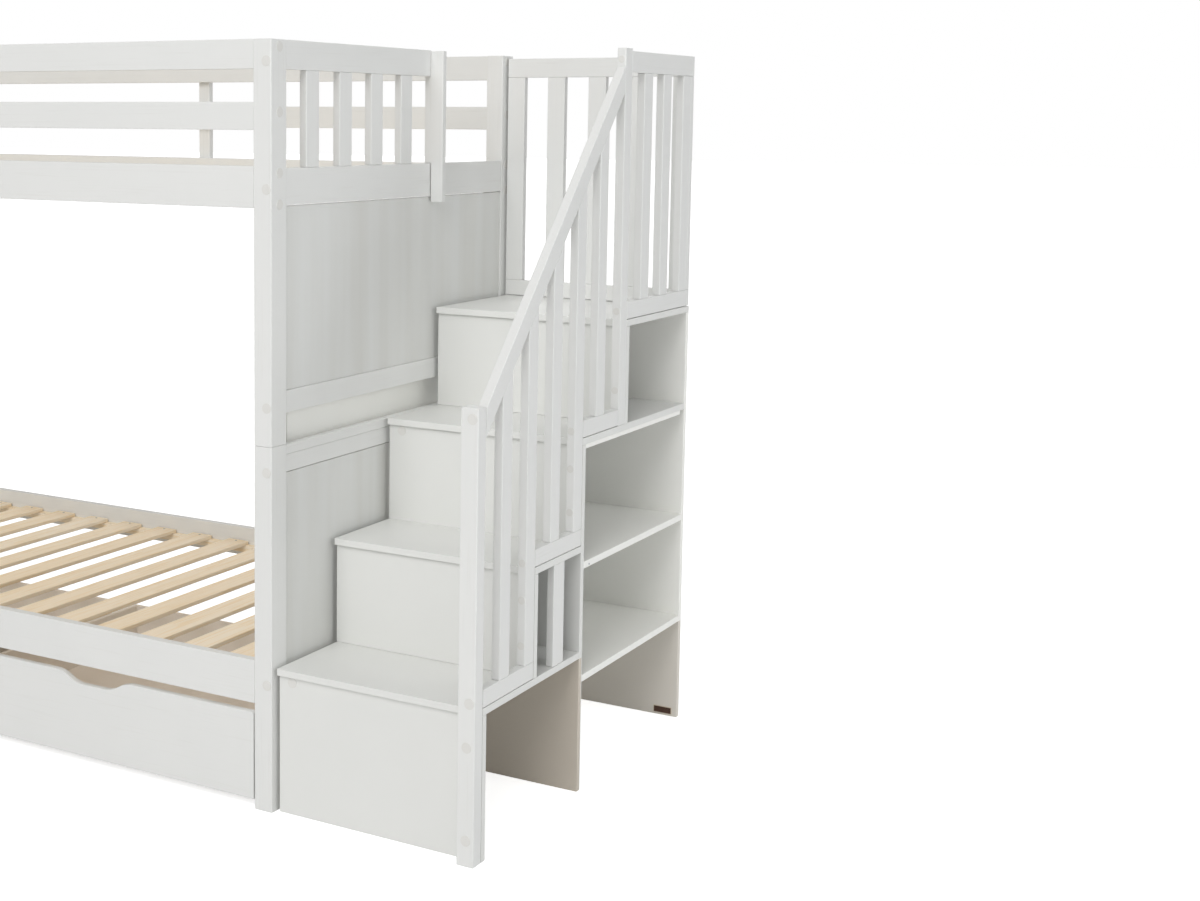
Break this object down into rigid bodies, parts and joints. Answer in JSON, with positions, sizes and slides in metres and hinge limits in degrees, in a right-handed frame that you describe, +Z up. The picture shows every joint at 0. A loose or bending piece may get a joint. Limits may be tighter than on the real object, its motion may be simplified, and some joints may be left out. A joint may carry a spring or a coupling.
{
  "type": "bunk bed with stairs",
  "caption": "White wooden bunk bed with a storage staircase at one end, slatted bases, guard rails all round and rolling drawers below.",
  "frame": {"origin": "on the floor under the middle of the whole bed and staircase", "axes": "+X along the bed towards the staircase end, +Y from the open front to the back, +Z up"},
  "size_m": [2.4682, 1.0822, 1.638],
  "materials": {
    "white_paint": "satin white paint on solid pine and board",
    "white_board": "satin white painted board",
    "natural_pine": "unfinished planed pine"
  },
  "bodies": {
    "frame": {"post_front_right_lower": "white_paint", "post_front_right_upper": "white_paint", "post_back_right_lower": "white_paint", "post_back_right_upper": "white_paint", "post_front_left_lower": "white_paint", "post_front_left_upper": "white_paint", "post_back_left_lower": "white_paint", "post_back_left_upper": "white_paint", "end_right_lower_panel": "white_paint", "end_right_lower_rail": "white_paint", "end_right_filler": "white_board", "end_right_mid_rail": "white_paint", "end_right_upper_panel": "white_paint", "end_right_upper_rail": "white_paint", "end_right_guard": "white_paint", "end_left_lower_panel": "white_paint", "end_left_lower_rail": "white_paint", "end_left_filler": "white_board", "end_left_mid_rail": "white_paint", "end_left_upper_panel": "white_paint", "end_left_upper_rail": "white_paint", "end_left_guard": "white_paint", "entry_upright": "white_paint", "side_rail_front_lower": "white_paint", "side_rail_front_upper": "white_paint", "side_rail_back_lower": "white_paint", "side_rail_back_upper": "white_paint", "guard_front_top": "white_paint", "guard_front_mid": "white_paint", "guard_back_top": "white_paint", "guard_back_mid": "white_paint", "guard_back_cleat": "white_paint", "slats_lower": "natural_pine", "slats_upper": "natural_pine", "drawer_divider": "white_paint", "riser_1": "white_paint", "riser_2": "white_paint", "riser_3": "white_paint", "riser_4": "white_paint", "back_board": "white_paint", "tread_1": "white_paint", "tread_2": "white_paint", "tread_3": "white_paint", "tread_4": "white_paint", "shelf_1": "white_board", "shelf_2": "white_board", "shelf_cleat": "white_board", "window_bar": "white_paint", "newel_front": "white_paint", "newel_upper": "white_paint", "handrail": "white_paint", "stair_guard_1": "white_paint", "stair_guard_2": "white_paint", "stair_guard_3": "white_paint", "landing_side_guard": "white_paint", "landing_back_guard": "white_paint"},
    "drawer_right": {"drawer_right_front": "white_paint", "drawer_right_tray": "white_board"},
    "drawer_left": {"drawer_left_front": "white_paint", "drawer_left_tray": "white_board"}
  },
  "joints": [
    {"name": "drawer_right_slide", "type": "slide", "parent": "frame", "child": "drawer_right", "axis": [0, -1, 0], "range_m": [0, 0.5]},
    {"name": "drawer_left_slide", "type": "slide", "parent": "frame", "child": "drawer_left", "axis": [0, -1, 0], "range_m": [0, 0.5]}
  ]
}
